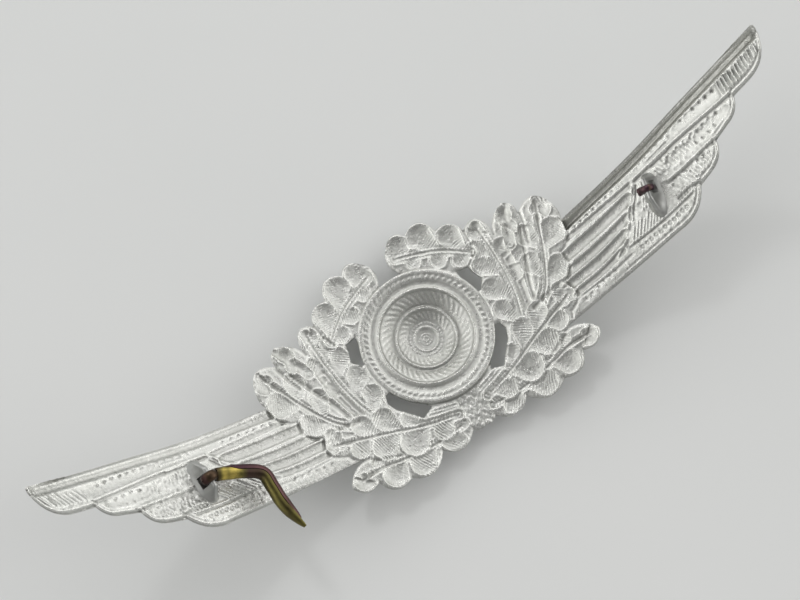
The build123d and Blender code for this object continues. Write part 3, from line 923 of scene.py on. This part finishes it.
def aged_brass(name, dark):
    """Brass with an olive and purple-brown patina and stains; a painted highlight gives one leg a gold
    band past the eye, and painted shade darkens the eye, the leg roots and the bend; dark is 0 to 1.
    """
    m = Shader(name)
    m.base.inputs["Metallic"].default_value = 1.0
    gold, olive, purple = (0.72, 0.56, 0.14, 1), (0.13, 0.115, 0.038, 1), (0.12, 0.065, 0.065, 1)
    run = m.attribute("run")
    # Painted highlight: a gold glint band along one leg just past the eye, mottled by noise.
    stops = [(0.17, 0.0), (0.195, 0.85), (0.22, 0.35), (0.25, 1.0), (0.28, 0.8), (0.31, 0.0), (1.0, 0.03)]
    painted_gold_highlight = m.ramp(run, stops)
    cloud = m.remap(m.noise(520, 5), 0.35, 0.65)
    mottled_gold_highlight = m.mix(1.0, painted_gold_highlight, cloud, "MULTIPLY")
    wear_and_highlight = m.mix(mottled_gold_highlight, olive, gold)
    tone = m.mix(m.attribute("leg"), purple, wear_and_highlight)
    stain = m.remap(m.noise(300, 3), 0.5, 0.75, 0, 0.7)
    tone = m.mix(stain, tone, (0.05, 0.035, 0.025, 1))
    # Painted shade: the eye and the leg roots inside the lug's window are darkened in colour.
    root = m.ramp(run, [(0.15, 0.85), (0.185, 0.0)])
    tone = m.mix(root, tone, (0.06, 0.035, 0.03, 1))
    # Painted shade, a dark reflection: the legs are darkened in colour at their bend.
    bent = m.ramp(run, [(0.3, 0.0), (0.335, 0.8), (0.41, 0.7), (0.5, 0.0)])
    tone = m.mix(bent, tone, (0.05, 0.025, 0.035, 1))
    tone = m.mix(dark, tone, (0.08, 0.045, 0.06, 1))
    m.link(tone, m.base.inputs["Base Color"])
    m.link(m.remap(m.noise(800, 4), 0.3, 0.7, 0.24, 0.48), m.base.inputs["Roughness"])
    m.bump(m.noise(1100, 4, 0.5, stretch=(1, 0.2, 1)), 0.3, 0.0001)
    return m.material


def floor_material():
    """Pale plain board with a hardly visible tooth."""
    m = Shader("pale_board")
    tone = m.ramp(m.noise(9, 3), [(0.3, (0.725, 0.735, 0.73)), (0.7, (0.755, 0.76, 0.755))])
    m.link(tone, m.base.inputs["Base Color"])
    m.base.inputs["Roughness"].default_value = 0.6
    m.base.inputs["Specular IOR Level"].default_value = 0.3
    m.bump(m.noise(400, 2), 0.05, 0.0002)
    return m.material


# ---------------------------------------------------------------- stage

AZIMUTH, ELEVATION, ROLL = (math.radians(a) for a in (-31.6, 77.57, -1.7))
CAMERA_DISTANCE = 0.26207
CAMERA_RIGHT, CAMERA_UP = -0.00443, 0.00343   # shift across the picture, in metres
LENS = 83.25
# Softboxes: place to the picture's right, towards its top, and up, then size and watts.
WINDOW_LIGHT = ((0.05, 0.7, 0.5), (1.0, 0.7), 1.15)
LAMP = ((-0.25, 0.45, 0.7), (0.12, 0.12), 0.6)


def view_axes():
    """Right, up and back directions of the viewing angle."""
    a, e = AZIMUTH, ELEVATION
    right = Vector((math.cos(a), math.sin(a), 0))
    up = Vector((-math.sin(a) * math.sin(e), math.cos(a) * math.sin(e), math.cos(e)))
    back = Vector((math.sin(a) * math.cos(e), -math.cos(a) * math.cos(e), math.sin(e)))
    c, s = math.cos(ROLL), math.sin(ROLL)
    return right * c + up * s, up * c - right * s, back


def add_camera():
    """Camera at the viewing angle, placed from the middle of the object's box."""
    right, up, back = view_axes()
    middle = (cad_box[0] + cad_box[1]) / 2
    cam = bpy.data.objects.new("camera", bpy.data.cameras.new("camera"))
    bpy.context.scene.collection.objects.link(cam)
    spot = middle + back * CAMERA_DISTANCE + right * CAMERA_RIGHT + up * CAMERA_UP
    turn = Matrix((right, up, back)).transposed().to_4x4()
    cam.matrix_world = Matrix.Translation(spot) @ turn
    cam.data.lens = LENS
    cam.data.clip_start, cam.data.clip_end = 0.01, 10
    bpy.context.scene.camera = cam


def add_floor():
    """Plain pale floor under the dish."""
    half, z = 2.0, cad_box[0].z - 0.00002
    corners = [(-half, -half, z), (half, -half, z), (half, half, z), (-half, half, z)]
    floor = new_mesh("floor", corners, [(0, 1, 2, 3)])
    floor.data.materials.append(floor_material())


def add_softbox(name, place, size, watts):
    """Rectangular soft light that shines at the origin."""
    right, up, _ = view_axes()
    flat = [Vector((v.x, v.y, 0)).normalized() for v in (right, up)]
    data = bpy.data.lights.new(name, "AREA")
    data.shape = "RECTANGLE"
    data.size, data.size_y = size
    data.energy = watts
    lamp = bpy.data.objects.new(name, data)
    bpy.context.scene.collection.objects.link(lamp)
    lamp.location = flat[0] * place[0] + flat[1] * place[1] + Vector((0, 0, place[2]))
    lamp.rotation_mode = "QUATERNION"
    lamp.rotation_quaternion = (-lamp.location).to_track_quat("-Z", "Y")


ROOM_LIGHT = 1.14
WINDOW_LEAN = 0.25   # the bright wall is behind the picture's top, this share of the way to its left
ROOM_TONES = [
    # walls of the room, from away from the window to towards it
    (0.0, 0.4), (0.15, 0.55), (0.3, 1.0), (0.45, 2.7), (0.6, 1.6), (0.78, 1.25), (1.0, 1.0),
]
ROOM_BLUE = 0.985        # the walls' blue, against their red and green
ZENITH_TONE = 0.1        # the dull ceiling
CEILING_REACH = 1.7      # above 1, the dull ceiling comes further down the walls
CLUTTER = (0.72, 1.28)   # darkest and brightest share of the tones, from things in the room


def room_walls(tree, flat):
    """Tone of the walls, by how near a level direction is to the window."""
    right, up, _ = view_axes()
    window = up - right * WINDOW_LEAN
    level = add_node(tree, "ShaderNodeVectorMath", operation="NORMALIZE")
    tree.links.new(flat, level.inputs[0])
    dot = add_node(tree, "ShaderNodeVectorMath", operation="DOT_PRODUCT")
    dot.inputs[1].default_value = Vector((window.x, window.y, 0)).normalized()
    tree.links.new(level.outputs["Vector"], dot.inputs[0])
    scale = add_node(tree, "ShaderNodeMapRange")
    scale.inputs["From Min"].default_value = -1
    tree.links.new(dot.outputs["Value"], scale.inputs["Value"])
    ramp = add_node(tree, "ShaderNodeValToRGB")
    set_stops(ramp, [(place, (tone, tone, tone * ROOM_BLUE)) for place, tone in ROOM_TONES])
    tree.links.new(scale.outputs["Result"], ramp.inputs["Fac"])
    return ramp.outputs["Color"]


def room_clutter(tree, coord):
    """Brightness factor that stands for things about the room."""
    things = add_node(tree, "ShaderNodeTexNoise")
    things.inputs["Scale"].default_value = 3.5
    things.inputs["Detail"].default_value = 3
    tree.links.new(coord, things.inputs["Vector"])
    clutter = add_node(tree, "ShaderNodeMapRange")
    for end, noise, tone in (("Min", 0.35, CLUTTER[0]), ("Max", 0.65, CLUTTER[1])):
        clutter.inputs[f"From {end}"].default_value = noise
        clutter.inputs[f"To {end}"].default_value = tone
    tree.links.new(things.outputs["Fac"], clutter.inputs["Value"])
    return clutter.outputs["Result"]


def add_world():
    """Room light: walls bright round the window and dim behind the viewer, a dull ceiling, clutter."""
    world = bpy.data.worlds.new("room")
    bpy.context.scene.world = world
    world.use_nodes = True
    tree = world.node_tree
    coord = add_node(tree, "ShaderNodeTexCoord").outputs["Generated"]
    flat = add_node(tree, "ShaderNodeVectorMath", operation="MULTIPLY")
    flat.inputs[1].default_value = (1, 1, 0)
    tree.links.new(coord, flat.inputs[0])
    spread = add_node(tree, "ShaderNodeVectorMath", operation="LENGTH")
    tree.links.new(flat.outputs["Vector"], spread.inputs[0])
    low = add_node(tree, "ShaderNodeMath", operation="POWER")
    low.inputs[1].default_value = CEILING_REACH
    tree.links.new(spread.outputs["Value"], low.inputs[0])
    mix = add_node(tree, "ShaderNodeMix", data_type="RGBA")
    mix.inputs["A"].default_value = (ZENITH_TONE, ZENITH_TONE, ZENITH_TONE, 1)
    tree.links.new(low.outputs["Value"], mix.inputs["Factor"])
    tree.links.new(room_walls(tree, flat.outputs["Vector"]), mix.inputs["B"])
    lit = add_node(tree, "ShaderNodeVectorMath", operation="SCALE")
    tree.links.new(mix.outputs["Result"], lit.inputs[0])
    tree.links.new(room_clutter(tree, coord), lit.inputs["Scale"])
    tree.links.new(lit.outputs["Vector"], tree.nodes["Background"].inputs["Color"])
    tree.nodes["Background"].inputs["Strength"].default_value = ROOM_LIGHT


def add_stage():
    """Floor, lights, camera and a plain tone response."""
    add_floor()
    add_world()
    add_softbox("window_light", *WINDOW_LIGHT)
    add_softbox("lamp", *LAMP)
    add_camera()
    bpy.context.scene.view_settings.view_transform = "Standard"


# ---------------------------------------------------------------- assembly

STUB_DARKNESS = 0.88   # 0 is the whole pin's brass, 1 is dark purple-brown


def attach(piece, body, node, material):
    """The piece takes a CAD node's place on its body."""
    piece.data.materials.append(material)
    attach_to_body(piece, body)
    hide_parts(node)


def main():
    attach(build_sheet(), "badge", "wreath_and_wings", struck_aluminium())
    strip = lug_aluminium()
    attach(build_lug("left_tent", -1), "badge", "left_lug", strip)
    attach(build_lug("right_tent", 1), "badge", "right_lug", strip)
    pin = build_pin("left_pin_wire", -1, whole=True)
    attach(pin, "left_pin", "left_split_pin", aged_brass("aged_brass", 0.0))
    stub = build_pin("right_pin_wire", 1, whole=False)
    attach(stub, "right_stub", "right_pin_stub", aged_brass("aged_brass_dark", STUB_DARKNESS))
    add_stage()


main()
